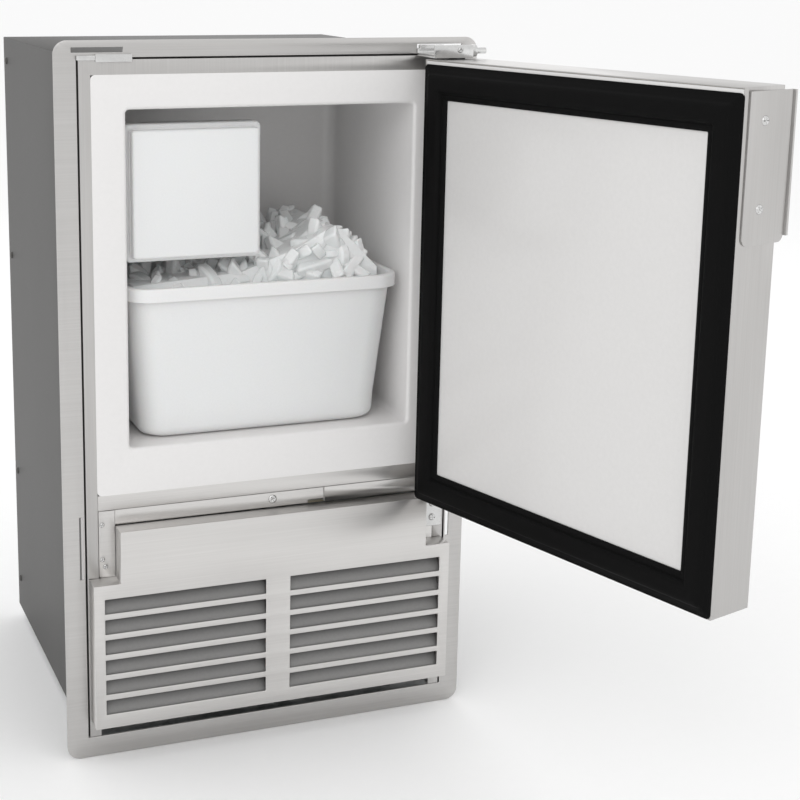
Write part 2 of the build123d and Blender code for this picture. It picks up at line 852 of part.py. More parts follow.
def ice_heap():
    """The ice as one closed solid: it fills the bin and rises to a ridge right of the head."""
    hollow = bin_shape(bin_wall + ice_gap, bin_z0 + bin_wall, bin_z1 + 1)
    base = bin_z1 - ice_level
    filled = hollow & block(-half, half, front, rear, bin_z0 + bin_wall + ice_gap, base)
    wide, deep = (side - 2 * (bin_wall + ice_gap) - 2 for side in bin_throat)
    x0, x1 = bin_x - wide / 2, bin_x + wide / 2
    top = [(x0, base), (x0, base + 5), (-20, base + 12), (36, base + 0.64 * heap_high),
           (64, base + 0.95 * heap_high), (76, base + heap_high), (92, base + 0.7 * heap_high),
           (x1, base + 0.2 * heap_high), (x1, base)]
    mound = Plane.XZ * make_face(Polyline(*top, close=True))
    ridge = Pos(0, bin_y + deep / 2 - 10, 0) * extrude(mound, deep - 30)
    throat = Pos(bin_x, bin_y, base - 1) * extrude(RectangleRounded(wide, deep, bin_corner - 4), heap_high + 5)
    return filled + (ridge & throat)


# ---------------- door (drawn shut, then swung open) ----------------
door_back = front - door_gap
door_front = door_back - door_body
door_half = door_width / 2


def door_skin():
    x = door_half
    s = door_sheet
    pan = block(-x, x, door_front, door_back, door_z0, door_z1)
    pan = fillet(pan.edges().filter_by(Axis.Z).group_by(Axis.Y)[0], 4)
    pan -= block(-x + s, x - s, door_front + s, door_back + 1, door_z0 + s, door_z1 - s)
    for z0, z1 in ((door_z0 - 1, door_z0 + 2), (door_z1 - 2, door_z1 + 1)):
        pan -= rod_z(pin_radius + bush_wall, z0, z1, pivot_x, pivot_y)
    return pan


inner_panel_t = 2.0


def door_inner_panel():
    x = door_half - door_sheet - lap_gap
    z0, z1 = door_z0 + door_sheet + lap_gap, door_z1 - door_sheet - lap_gap
    return block(-x, x, door_back - inner_panel_t, door_back, z0, z1)


def door_foam():
    x = door_half - door_sheet
    foam = block(-x, x, door_front + door_sheet, door_back - inner_panel_t,
                 door_z0 + door_sheet, door_z1 - door_sheet)
    foam -= rod_z(10, door_z0, door_z0 + bush_length + 8, pivot_x, pivot_y)
    foam -= rod_z(10, door_z1 - bush_length - 8, door_z1, pivot_x, pivot_y)
    corner = foam.edges().filter_by(Axis.Z).group_by(Axis.Y)[0]
    return fillet(corner, 3)


def door_gasket():
    x = door_half - gasket_margin
    z0, z1 = door_z0 + gasket_margin, door_z1 - gasket_margin - 4
    b = gasket_band
    ring = rounded(-x, x, z0, z1, 5) - rounded(-x + b, x - b, z0 + b, z1 - b, 3)
    band = plate_y(ring, door_back, door_back + gasket_height)
    face = band.faces().sort_by(Axis.Y)[-1]
    return fillet(face.outer_wire().edges(), gasket_round)


def door_bush(z_end, up):
    """A flanged hinge bush whose mouth is at z_end."""
    z0, z1 = (z_end, z_end + bush_length) if up > 0 else (z_end - bush_length, z_end)
    f0, f1 = (z_end - bush_flange, z_end) if up > 0 else (z_end, z_end + bush_flange)
    bush = rod_z(pin_radius + bush_wall, z0, z1, pivot_x, pivot_y)
    bush += rod_z(pin_radius + bush_wall + 2, f0, f1, pivot_x, pivot_y)
    return bush - rod_z(pin_radius + pin_clearance, z0 - 2, z1 + 2, pivot_x, pivot_y)


def handle():
    x = -door_half - lap_gap
    z1 = door_z1 - handle_drop
    z0 = z1 - handle_height
    p = handle_plate
    y0, y1 = door_front - handle_lip, door_back - 4
    plate = block(x - p, x, y0, y1, z0, z1)
    plate = fillet(plate.edges().filter_by(Axis.X).group_by(Axis.Z)[0], 6)
    hook = block(x - p - handle_hook, x, y0 - p, y0, z0 + 5, z1)
    return plate + hook


def handle_screws():
    x = -door_half - lap_gap - handle_plate
    z1 = door_z1 - handle_drop
    screws = []
    for dz in (-22.0, -88.0):
        seat = Pos(x, (door_front + door_back) / 2 + 2, z1 + dz) * Rot(0, -90, 0)
        screws.append(screw_head_on(seat, 4.0))
    return screws


parts = {
    "cabinet_wrapper": cabinet_wrapper(),
    "base_pan": base_pan(),
    "rear_panel": rear_panel(),
    "trim_flange": trim_flange(),
    "face_frame": face_frame(),
    "cross_rail": cross_rail(),
    "lower_ledge": lower_ledge(),
    "corner_plates": corner_plates(),
    "cavity_liner": cavity_liner(),
    "foam_insulation": foam_insulation(),
    "evaporator_plate": evaporator_plate(),
    "evaporator_coil": evaporator_coil(),
    "machine_deck": machine_deck(),
    "toe_grille": toe_grille(),
    "grille_louvres": grille_louvres(),
    "upper_hinge_bracket": upper_hinge_bracket(),
    "hinge_pins": [upper_hinge_pin(), lower_hinge_pin()],
    "hinge_stop": hinge_stop(),
    "lower_hinge_bracket": lower_hinge_bracket(),
    "blanking_clip": blanking_clip(),
    "front_screws": hinge_screws() + face_screws(),
    "wrapper_screws": wrapper_screws(),
    "rear_screws": rear_screws(),
    "compressor": compressor(),
    "compressor_bracket": compressor_bracket(),
    "compressor_mounts": compressor_mounts(),
    "fan_shroud": fan_shroud(),
    "fan_blades": fan_blades(),
    "fan_shaft": fan_shaft(),
    "fan_motor": fan_motor(),
    "fan_bracket": fan_bracket(),
    "condenser_coil": condenser_coil(),
    "condenser_fins": condenser_fins(),
    "filter_drier": filter_drier(),
    "suction_line": suction_line(),
    "discharge_line": discharge_line(),
    "water_valve": water_valve(),
    "inlet_stub": inlet_stub(),
    "fill_tube": fill_tube(),
    "power_inlet": power_inlet(),
    "control_box": control_box(),
    "head_cover": head_cover(),
    "drive_housing": drive_housing(),
    "drive_motor": drive_motor(),
    "mould_tray": mould_tray(),
    "mould_heater": mould_heater(),
    "ejector": ejector(),
    "ejector_bearing": ejector_bearing(),
    "ice_stripper": ice_stripper(),
    "fill_cup": fill_cup(),
    "bail_arm": bail_arm(),
    "ice_bin": ice_bin(),
    "ice_heap": ice_heap(),
    "door_skin": swung(door_skin()),
    "door_inner_panel": swung(door_inner_panel()),
    "door_foam": swung(door_foam()),
    "door_gasket": swung(door_gasket()),
    "hinge_bushes": [swung(door_bush(door_z0, 1)), swung(door_bush(door_z1, -1))],
    "handle": swung(handle()),
    "handle_screws": [swung(screw) for screw in handle_screws()],
}

os.makedirs("parts", exist_ok=True)
for name, shape in parts.items():
    if isinstance(shape, list):
        shape = Compound(children=shape)
    export_step(shape, f"parts/{name}.step")
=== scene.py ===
import json
import math

import bmesh
import bpy
from mathutils import Matrix, Vector
from mathutils.bvhtree import BVHTree


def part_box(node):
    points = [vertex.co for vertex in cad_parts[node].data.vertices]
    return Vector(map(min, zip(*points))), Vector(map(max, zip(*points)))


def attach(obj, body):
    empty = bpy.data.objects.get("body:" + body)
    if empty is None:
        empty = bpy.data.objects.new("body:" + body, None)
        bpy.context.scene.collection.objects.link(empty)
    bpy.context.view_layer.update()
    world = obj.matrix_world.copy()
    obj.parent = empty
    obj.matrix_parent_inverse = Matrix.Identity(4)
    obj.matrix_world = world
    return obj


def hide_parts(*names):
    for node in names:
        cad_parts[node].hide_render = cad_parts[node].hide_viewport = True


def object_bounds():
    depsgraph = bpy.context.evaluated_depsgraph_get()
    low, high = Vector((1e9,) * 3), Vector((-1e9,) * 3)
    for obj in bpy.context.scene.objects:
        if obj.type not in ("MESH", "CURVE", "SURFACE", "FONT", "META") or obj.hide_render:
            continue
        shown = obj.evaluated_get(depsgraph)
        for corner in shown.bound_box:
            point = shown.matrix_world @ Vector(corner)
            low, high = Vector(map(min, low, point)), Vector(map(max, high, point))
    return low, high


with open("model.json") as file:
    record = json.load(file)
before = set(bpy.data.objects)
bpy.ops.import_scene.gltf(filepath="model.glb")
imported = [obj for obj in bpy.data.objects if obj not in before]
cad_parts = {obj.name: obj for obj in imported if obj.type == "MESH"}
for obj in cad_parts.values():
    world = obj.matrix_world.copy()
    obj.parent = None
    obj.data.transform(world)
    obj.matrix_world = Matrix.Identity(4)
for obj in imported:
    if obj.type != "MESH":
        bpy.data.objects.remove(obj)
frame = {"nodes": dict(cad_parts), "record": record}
cad_lo, cad_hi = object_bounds()
record = frame["record"]

# ---- camera, floor and light ----
# The camera stands to the left of the front, a little above the cabinet's top and about a metre and
# a half away. The floor is pale paper, lit by an even white surround and four weak soft boxes.
camera_place = Vector((-0.4732, -1.5281, 0.7188))
camera_turn = 20.39     # degrees from straight ahead towards the hinge side
camera_dip = 12.05      # degrees below the horizon
camera_roll = 0.6
camera_lens = 72.55

camera_data = bpy.data.cameras.new("camera")
camera_data.lens = camera_lens
camera_data.sensor_width = 36.0
camera_data.shift_x = 0.12
camera_data.shift_y = -0.13
camera_data.clip_start = 0.05
camera = bpy.data.objects.new("camera", camera_data)
camera.location = camera_place
turn = Matrix.Rotation(math.radians(-camera_turn), 4, "Z")
dip = Matrix.Rotation(math.radians(90.0 - camera_dip), 4, "X")
roll = Matrix.Rotation(math.radians(camera_roll), 4, "Z")
camera.rotation_euler = (turn @ dip @ roll).to_euler()
bpy.context.scene.collection.objects.link(camera)
bpy.context.scene.camera = camera

world = bpy.data.worlds.new("studio")
world.use_nodes = True
world_light = world.node_tree.nodes["Background"]
world_light.inputs["Color"].default_value = (1.0, 1.0, 1.0, 1.0)
world_light.inputs["Strength"].default_value = 1.0
bpy.context.scene.world = world
bpy.context.scene.view_settings.view_transform = "Standard"


def lamp(name, place, target, size, watts):
    """A square soft box that looks at a point."""
    data = bpy.data.lights.new(name, "AREA")
    data.shape = "SQUARE"
    data.size = size
    data.energy = watts
    box = bpy.data.objects.new(name, data)
    box.location = place
    box.rotation_euler = (Vector(target) - Vector(place)).to_track_quat("-Z", "Y").to_euler()
    bpy.context.scene.collection.objects.link(box)


middle = (cad_lo + cad_hi) / 2
lamp("key_light", (-1.3, -2.1, 1.9), middle, 1.4, 9.0)
lamp("fill_light", (1.9, -1.7, 1.0), middle, 1.6, 2.0)
lamp("top_light", (0.1, -0.2, 2.6), middle, 1.8, 3.0)
lamp("back_light", (0.9, 2.2, 1.5), middle, 1.6, 3.0)


class Wire:
    """A socket's value, which can be used in sums."""

    def __init__(self, paint, socket):
        self.paint = paint
        self.socket = socket

    def maths(self, operation, first, second):
        return self.paint.node("ShaderNodeMath", {"operation": operation}, {0: first, 1: second})

    def __add__(self, other):
        return self.maths("ADD", self, other)

    def __rsub__(self, other):
        return self.maths("SUBTRACT", other, self)

    def __mul__(self, other):
        return self.maths("MULTIPLY", self, other)

    __radd__ = __add__


class Paint:
    """One material: its tree, its shader and the nodes that feed it."""

    def __init__(self, name):
        self.material = bpy.data.materials.new(name)
        self.material.use_nodes = True
        self.tree = self.material.node_tree
        self.tree.nodes.clear()
        self.shader = self.tree.nodes.new("ShaderNodeBsdfPrincipled")
        output = self.tree.nodes.new("ShaderNodeOutputMaterial")
        self.tree.links.new(self.shader.outputs[0], output.inputs["Surface"])

    def feed(self, socket, value):
        if isinstance(value, Wire):
            self.tree.links.new(value.socket, socket)
        else:
            socket.default_value = value

    def node(self, kind, settings, sockets, out=0):
        node = self.tree.nodes.new(kind)
        for setting, value in settings.items():
            setattr(node, setting, value)
        for key, value in sockets.items():
            self.feed(node.inputs[key], value)
        return Wire(self, node.outputs[out])

    def mix(self, factor, dark, light):
        sockets = {0: factor, 6: dark, 7: light}
        return self.node("ShaderNodeMix", {"data_type": "RGBA"}, sockets, 2)

    def bump(self, height, strength, distance):
        sockets = {"Height": height, "Strength": strength, "Distance": distance}
        return self.node("ShaderNodeBump", {}, sockets)


def surface(name, dark, light, rough, grain, depth=0.0002, metallic=0.0, broad=7.0, spangle=False,
            **fixed):
    """A finish whose tone and gloss drift between two values, with a grain sized along each axis."""
    paint = Paint(name)
    place = paint.node("ShaderNodeTexCoord", {}, {}, "Object")
    fine_place = paint.node("ShaderNodeVectorMath", {"operation": "MULTIPLY"}, {0: place, 1: grain})
    if spangle:
        fine = paint.node("ShaderNodeTexVoronoi", {}, {"Vector": fine_place, "Scale": 1.0}, "Color")
        fine = paint.node("ShaderNodeSeparateColor", {}, {0: fine})
    else:
        fine = paint.node("ShaderNodeTexNoise", {}, {"Vector": fine_place, "Scale": 1.0, "Detail": 3.0})
    drift = paint.node("ShaderNodeTexNoise", {}, {"Vector": place, "Scale": broad, "Detail": 4.0})
    grain_share, drift_share = 0.6, 0.4
    tone = fine * grain_share + drift * drift_share
    paint.feed(paint.shader.inputs["Base Color"], paint.mix(tone, (*dark, 1.0), (*light, 1.0)))
    paint.feed(paint.shader.inputs["Roughness"], rough[0] + tone * (rough[1] - rough[0]))
    paint.feed(paint.shader.inputs["Normal"], paint.bump(fine, 0.5, depth))
    paint.shader.inputs["Metallic"].default_value = metallic
    for key, value in fixed.items():
        paint.shader.inputs[key.replace("_", " ")].default_value = value
    return paint.material


floor_size = 30.0
floor_drop = 0.0005
floor_mesh = bpy.data.meshes.new("floor")
corners = [(-1, -1), (1, -1), (1, 1), (-1, 1)]
floor_points = [(x * floor_size, y * floor_size, cad_lo.z - floor_drop) for x, y in corners]
floor_mesh.from_pydata(floor_points, [], [(0, 1, 2, 3)])
floor = bpy.data.objects.new("floor", floor_mesh)
floor_paper = surface("floor_paper", (0.94, 0.94, 0.94), (0.97, 0.97, 0.97), (0.8, 0.9), (90, 90, 90))
floor_mesh.materials.append(floor_paper)
bpy.context.scene.collection.objects.link(floor)

# ---- cabinet wrapper, base and rear ----
# The wrapper is one sheet of dark coated steel folded over the top and both sides. The rear
# panel and the base pan are galvanised sheet, screwed to it.
weld_gap = 1e-6
fold_angle = math.radians(40)


def baked(piece):
    """Turns an object's modifiers into its mesh."""
    bpy.context.view_layer.update()
    graph = bpy.context.evaluated_depsgraph_get()
    mesh = bpy.data.meshes.new_from_object(piece.evaluated_get(graph), depsgraph=graph)
    piece.modifiers.clear()
    piece.data = mesh
    return piece


def pressed(node, body, material, edge=0.0005, steps=2):
    """A copy of a sheet or moulded piece with its edges rounded off."""
    source = frame["nodes"][node].data
    work = bmesh.new()
    work.from_mesh(source)
    bmesh.ops.remove_doubles(work, verts=work.verts, dist=weld_gap)
    mesh = bpy.data.meshes.new(node + "_piece")
    for face in work.faces:
        face.smooth = True
    work.to_mesh(mesh)
    work.free()
    mesh.materials.append(material)
    piece = bpy.data.objects.new(node + "_piece", mesh)
    bpy.context.scene.collection.objects.link(piece)
    bevel = piece.modifiers.new("round", "BEVEL")
    bevel.width = edge
    bevel.segments = steps
    bevel.limit_method = "ANGLE"
    bevel.angle_limit = fold_angle
    bevel.harden_normals = True
    baked(piece)
    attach(piece, body)
    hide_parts(node)


def finish_nodes(material, *nodes):
    """Gives the frame's own pieces their finish."""
    for node in nodes:
        mesh = frame["nodes"][node].data
        mesh.materials.clear()
        mesh.materials.append(material)


dark_paint = surface("dark_painted_steel", (0.04, 0.039, 0.037), (0.062, 0.06, 0.057), (0.4, 0.54),
                     (700, 700, 700), 0.00012, broad=5.0, Specular_IOR_Level=0.22)
galvanised = surface("galvanised_steel", (0.42, 0.43, 0.44), (0.6, 0.61, 0.62), (0.32, 0.5),
                     (110, 110, 110), 0.00004, 1.0, spangle=True)
pressed("cabinet_wrapper", "cabinet", dark_paint, 0.0007)
pressed("rear_panel", "cabinet", galvanised, 0.0003)
pressed("base_pan", "cabinet", galvanised, 0.0003)
finish_nodes(galvanised, "machine_deck", "control_box", "compressor_bracket", "fan_bracket")

# ---- foam and cooling plate ----
# Polyurethane foam fills the space round the liner. The aluminium plate and its copper coil
# sit against the liner's back wall, in the foam.
foam = surface("foam", (0.78, 0.7, 0.5), (0.88, 0.82, 0.64), (0.8, 0.95), (260, 260, 260), 0.001)
aluminium = surface("aluminium", (0.66, 0.67, 0.68), (0.8, 0.81, 0.82), (0.3, 0.45), (20, 400, 400),
                    0.00005, 1.0)
copper = surface("copper", (0.6, 0.27, 0.17), (0.78, 0.42, 0.3), (0.22, 0.42), (120, 120, 120),
                 0.00008, 1.0)
finish_nodes(foam, "foam_insulation", "door_foam")
finish_nodes(aluminium, "evaporator_plate", "mould_tray")
finish_nodes(copper, "evaporator_coil", "condenser_coil", "filter_drier", "suction_line",
             "discharge_line")

# ---- liner ----
# One vacuum-formed sheet of white plastic: a flat rim round the opening, a rounded lip and
# walls that run back to the rear wall with soft corners.
white_liner = surface("white_liner", (0.74, 0.73, 0.725), (0.8, 0.79, 0.785), (0.34, 0.46),
                      (240, 240, 240), 0.00015, broad=3.0, Coat_Weight=0.15, Coat_Roughness=0.3)
liner_lo, liner_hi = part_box("cavity_liner")
seam_gap = 1e-7


def new_piece(name, verts, faces, material, smooth=35.0):
    """A mesh object at the origin, its normals outward and its edges sharp above an angle."""
    mesh = bpy.data.meshes.new(name)
    mesh.from_pydata([tuple(v) for v in verts], [], faces)
    work = bmesh.new()
    work.from_mesh(mesh)
    bmesh.ops.remove_doubles(work, verts=work.verts, dist=seam_gap)
    bmesh.ops.recalc_face_normals(work, faces=work.faces)
    for edge in work.edges:
        edge.smooth = edge.calc_face_angle(0.0) < math.radians(smooth)
    for face in work.faces:
        face.smooth = True
    work.to_mesh(mesh)
    work.free()
    mesh.materials.append(material)
    piece = bpy.data.objects.new(name, mesh)
    bpy.context.scene.collection.objects.link(piece)
    return piece


def rounded_ring(x0, x1, z0, z1, y, radius, arc=8):
    """Points of a rounded rectangle that faces the front, at depth y."""
    points = []
    spots = ((x1 - radius, z1 - radius, 0), (x0 + radius, z1 - radius, 90),
             (x0 + radius, z0 + radius, 180), (x1 - radius, z0 + radius, 270))
    for cx, cz, start in spots:
        for i in range(arc + 1):
            angle = math.radians(start + 90.0 * i / arc)
            points.append((cx + radius * math.cos(angle), y, cz + radius * math.sin(angle)))
    return points


def skinned(rings, first_cap=False, last_cap=False, closed=False):
    """Quads between rings that have the same count of points."""
    verts = [p for ring in rings for p in ring]
    count = len(rings[0])
    faces = []
    spans = len(rings) if closed else len(rings) - 1
    for i in range(spans):
        a, b = i * count, ((i + 1) % len(rings)) * count
        for j in range(count):
            k = (j + 1) % count
            faces.append((a + j, a + k, b + k, b + j))
    if first_cap:
        faces.append(tuple(range(count)))
    if last_cap:
        faces.append(tuple(range(len(verts) - count, len(verts))))
    return verts, faces


wall = 0.002
lip_round = 0.003
rim_corner = 0.004
front_corner = 0.004
back_corner = 0.016
corner_round = 0.012
cavity_half = 0.1357
cavity_z0, cavity_z1 = 0.2806, 0.5850
back_y = 0.030
face_y = liner_lo.y
rings = []
for depth in (wall, 0.0):
    rings.append(rounded_ring(liner_lo.x, liner_hi.x, liner_lo.z, liner_hi.z, face_y + depth,
                              rim_corner))


def cavity_ring(inset, y, radius):
    """The cavity's outline at depth y, set in from its walls."""
    return rounded_ring(-cavity_half + inset, cavity_half - inset, cavity_z0 + inset, cavity_z1 - inset,
                        y, radius)


lip_steps = 6
for i in range(lip_steps + 1):
    angle = math.radians(90.0 * i / lip_steps)
    lip = lip_round * (1 - math.sin(angle))
    rings.append(cavity_ring(-lip, face_y + lip_round * (1 - math.cos(angle)), front_corner + lip))
for i in range(lip_steps + 1):
    angle = math.radians(90.0 * i / lip_steps)
    inset = corner_round * (1 - math.cos(angle))
    rings.append(cavity_ring(inset, back_y - corner_round * (1 - math.sin(angle)), back_corner - inset))
verts, faces = skinned(rings, last_cap=True)
liner = new_piece("liner", verts, faces, white_liner, 50)
for polygon in liner.data.polygons:
    polygon.use_smooth = True
thick = liner.modifiers.new("sheet", "SOLIDIFY")
thick.thickness = wall / 2
thick.offset = 0.0
baked(liner)
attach(liner, "cabinet")
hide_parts("cavity_liner")

# ---- flange, face frame, rail and ledge ----
# Brushed stainless sheet: the flat mounting flange, the strips behind it round the opening,
# the rail under the liner, the folded ledge and the plates at its ends. The flange and the upright
# strips take darker copies of the same steel, and their extra darkness is painted shade.
steel_dark, steel_light = (0.55, 0.538, 0.525), (0.71, 0.698, 0.685)
steel_across = surface("brushed_steel", steel_dark, steel_light, (0.26, 0.4), (9, 500, 900),
                       0.00003, 1.0, Anisotropic=0.4)
# Painted shade: a darker copy of the brushed steel, with its grain run upright.
upright_shaded_dark, upright_shaded_light = (0.44, 0.43, 0.42), (0.58, 0.57, 0.56)
shaded_steel_upright = surface("brushed_steel_upright_painted_shade", upright_shaded_dark, upright_shaded_light, (0.26, 0.4),
                        (900, 500, 9), 0.00003, 1.0, Anisotropic=0.4)
# Painted shade: the flange's copy is the same brushed steel, only darker.
shaded_steel_flange = surface("brushed_steel_flange_painted_shade", (0.45, 0.44, 0.43), (0.6, 0.59, 0.58), (0.26, 0.4),
                       (9, 500, 900), 0.00003, 1.0, Anisotropic=0.4)
pressed("trim_flange", "cabinet", shaded_steel_flange, 0.0004)
pressed("face_frame", "cabinet", shaded_steel_upright, 0.0004)
pressed("cross_rail", "cabinet", steel_across, 0.0006)
pressed("lower_ledge", "cabinet", steel_across, 0.0008)
pressed("corner_plates", "cabinet", steel_across, 0.0004)

# ---- grille and louvres ----
# The lower grille is a folded box of brushed steel with two banks of slots. A painted blade
# rises inwards from the lower edge of every slot. The blade's colour carries painted shade: dark at
# the top of each slot and lighter towards its lower edge.
slot_pitch = 0.0195
louvre_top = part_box("grille_louvres")[1].z
# Painted shade: the dark colour stands for the shade at the top of each slot, the light one for the lit
# lower edge.
louvre_shaded_top, louvre_lit_bottom = (0.02, 0.02, 0.02, 1.0), (0.38, 0.376, 0.37, 1.0)
louvre = Paint("grey_louvre")
louvre_place = louvre.node("ShaderNodeTexCoord", {}, {}, "Object")
louvre_height = louvre.node("ShaderNodeSeparateXYZ", {}, {0: louvre_place}, "Z")
louvre_grain = louvre.node("ShaderNodeTexNoise", {}, {"Vector": louvre_place, "Scale": 400.0, "Detail": 3.0})
# Painted shade: the colour darkens from the lower edge to the top of every slot, repeating with the slot
# pitch.
pitches_down = (louvre_top - louvre_height) * (1 / slot_pitch)
down = louvre.node("ShaderNodeMath", {"operation": "FRACT"}, {0: pitches_down})
louvre.feed(louvre.shader.inputs["Base Color"],
            louvre.mix(down * 0.9 + louvre_grain * 0.1, louvre_shaded_top, louvre_lit_bottom))
louvre.feed(louvre.shader.inputs["Roughness"], 0.4 + louvre_grain * 0.12)
louvre.feed(louvre.shader.inputs["Normal"], louvre.bump(louvre_grain, 0.4, 0.0001))
louvre.shader.inputs["Specular IOR Level"].default_value = 0.2
pressed("toe_grille", "cabinet", steel_across, 0.0006)
pressed("grille_louvres", "cabinet", louvre.material, 0.0002)

# ---- hinge hardware ----
# Plated steel: the upper bracket with its pin and stop, the lower bracket, and a clip that
# blanks the spare hinge place.
plated = surface("bright_steel", (0.5, 0.5, 0.5), (0.72, 0.72, 0.71), (0.14, 0.3), (300, 300, 300),
                 0.00003, 1.0)
for node in ("upper_hinge_bracket", "lower_hinge_bracket", "blanking_clip", "hinge_stop"):
    pressed(node, "cabinet", plated, 0.0004)
finish_nodes(plated, "hinge_pins", "fan_shaft", "mould_heater", "bail_arm")

# ---- screws ----
# Pan-head screws with a cross recess hold the wrapper, rear panel, front plates and handle.
# One head is made and set at every screw's place, facing the way that screw faces.


def repeat_tree():
    """Geometry nodes that set one piece on every point of a mesh, turned and sized by the points."""
    tree = bpy.data.node_groups.new("repeat", "GeometryNodeTree")
    face = tree.interface
    face.new_socket("Points", in_out="INPUT", socket_type="NodeSocketGeometry")
    face.new_socket("Piece", in_out="INPUT", socket_type="NodeSocketObject")
    face.new_socket("Finish", in_out="INPUT", socket_type="NodeSocketMaterial")
    face.new_socket("Pieces", in_out="OUTPUT", socket_type="NodeSocketGeometry")
    start = tree.nodes.new("NodeGroupInput")
    end = tree.nodes.new("NodeGroupOutput")
    piece = tree.nodes.new("GeometryNodeObjectInfo")
    turn_in = tree.nodes.new("GeometryNodeInputNamedAttribute")
    turn_in.data_type = "FLOAT_VECTOR"
    turn_in.inputs["Name"].default_value = "turn"
    size_in = tree.nodes.new("GeometryNodeInputNamedAttribute")
    size_in.data_type = "FLOAT_VECTOR"
    size_in.inputs["Name"].default_value = "size"
    put = tree.nodes.new("GeometryNodeInstanceOnPoints")
    real = tree.nodes.new("GeometryNodeRealizeInstances")
    finish = tree.nodes.new("GeometryNodeSetMaterial")
    link = tree.links.new
    link(start.outputs["Points"], put.inputs["Points"])
    link(start.outputs["Piece"], piece.inputs["Object"])
    link(piece.outputs["Geometry"], put.inputs["Instance"])
    link(turn_in.outputs["Attribute"], put.inputs["Rotation"])
    link(size_in.outputs["Attribute"], put.inputs["Scale"])
    link(put.outputs["Instances"], real.inputs["Geometry"])
    link(real.outputs["Geometry"], finish.inputs["Geometry"])
    link(start.outputs["Finish"], finish.inputs["Material"])
    link(finish.outputs["Geometry"], end.inputs["Pieces"])
    return tree


repeater = repeat_tree()


def repeated(name, piece, places, turns, sizes, material):
    """One plain mesh object with a copy of the piece at every place."""
    mesh = bpy.data.meshes.new(name)
    mesh.from_pydata([tuple(p) for p in places], [], [])
    for label, values in (("turn", turns), ("size", sizes)):
        layer = mesh.attributes.new(label, "FLOAT_VECTOR", "POINT")
        for i, value in enumerate(values):
            layer.data[i].vector = value
    group = bpy.data.objects.new(name, mesh)
    bpy.context.scene.collection.objects.link(group)
    modifier = group.modifiers.new("repeat", "NODES")
    modifier.node_group = repeater
    for socket in repeater.interface.items_tree:
        if socket.name == "Piece":
            modifier[socket.identifier] = piece
        if socket.name == "Finish":
            modifier[socket.identifier] = material
    baked(group)
    bpy.data.objects.remove(piece)
    return group


def own_box(points):
    """Lowest and highest corners of a list of points."""
    xs, ys, zs = zip(*points)
    return Vector((min(xs), min(ys), min(zs))), Vector((max(xs), max(ys), max(zs)))


def islands(node):
    """The box of every separate solid in a node, in the order of its first vertex."""
    work = bmesh.new()
    work.from_mesh(frame["nodes"][node].data)
    bmesh.ops.remove_doubles(work, verts=work.verts, dist=weld_gap)
    seen, boxes = set(), []
    for first in work.verts:
        if first in seen:
            continue
        seen.add(first)
        stack, points = [first], []
        while stack:
            vert = stack.pop()
            points.append(tuple(vert.co))
            for edge in vert.link_edges:
                other = edge.other_vert(vert)
                if other not in seen:
                    seen.add(other)
                    stack.append(other)
        boxes.append(own_box(points))
    work.free()
    return boxes


head_crown = 0.55
recess_depth = 0.34
recess_reach = 0.6
groove_depth = 0.3
groove_taper = 4


def screw_head():
    """A pan head of unit radius that faces +Z from z = 0, with a cross recess."""
    profile = [(1.0, 0.0), (1.0, 0.12), (0.93, 0.3), (0.78, 0.44), (0.55, 0.52), (0.0, head_crown)]
    around = 32
    verts, faces = [(0, 0, 0), (0, 0, head_crown - recess_depth)], []
    for radius, height in profile[:-1]:
        for i in range(around):
            angle = 2 * math.pi * i / around
            spread = abs(math.sin(2 * angle))
            dent = 0.0 if radius > recess_reach else groove_depth * max(0.0, 1 - groove_taper * spread)
            verts.append((radius * math.cos(angle), radius * math.sin(angle), height - dent))
    rows = len(profile) - 1
    for row in range(rows - 1):
        for i in range(around):
            k = (i + 1) % around
            a, b = 2 + row * around, 2 + (row + 1) * around
            faces.append((a + i, a + k, b + k, b + i))
    last = 2 + (rows - 1) * around
    for i in range(around):
        k = (i + 1) % around
        faces.append((0, 2 + k, 2 + i))
        faces.append((last + i, last + k, 1))
    return new_piece("screw_head", verts, faces, plated, 50)


door_joint = [j for j in record["behaviour"]["joints"] if j["name"] == "door_hinge"][0]
door_pivot = Vector(door_joint["pos_m"])
door_open = math.radians(-door_joint["range_deg"][0])
swing = (Matrix.Translation(door_pivot) @ Matrix.Rotation(door_open, 4, "Z")
         @ Matrix.Translation(-door_pivot))
handle_way = swing.to_3x3() @ Vector((-1, 0, 0))
handle_screw_height = 0.0022
slant = 0.01           # a screw that faces off both axes is one of the handle's


def screws(node, body, material, way_of, spin_step=0.7):
    """Screw heads in place of a node's plain ones."""
    places, turns, sizes = [], [], []
    for i, (lo, hi) in enumerate(islands(node)):
        centre, span = (lo + hi) / 2, hi - lo
        way = way_of(centre, span)
        radius = max(span) / 2
        height = abs(span.x * way.x) + abs(span.y * way.y) + abs(span.z * way.z)
        if abs(way.x) > slant and abs(way.y) > slant:
            height = handle_screw_height
        places.append(centre - way * height / 2)
        spin = Matrix.Rotation(spin_step * i, 3, "Z")
        turns.append((way.to_track_quat("Z", "Y").to_matrix() @ spin).to_euler())
        sizes.append((radius, radius, height / head_crown))
    group = repeated(node + "_heads", screw_head(), places, turns, sizes, material)
    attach(group, body)
    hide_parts(node)


dark_screw = surface("dark_screws", (0.07, 0.068, 0.065), (0.11, 0.107, 0.1), (0.3, 0.42),
                     (800, 800, 800), 0.0001, 0.8)
screws("wrapper_screws", "cabinet", dark_screw,
       lambda c, s: Vector((math.copysign(1, c.x), 0, 0)) if s.x < s.z else Vector((0, 0, 1)))
screws("rear_screws", "cabinet", plated, lambda c, s: Vector((0, 1, 0)))
screws("front_screws", "cabinet", plated, lambda c, s: Vector((0, -1, 0)))
screws("handle_screws", "door", plated, lambda c, s: handle_way)

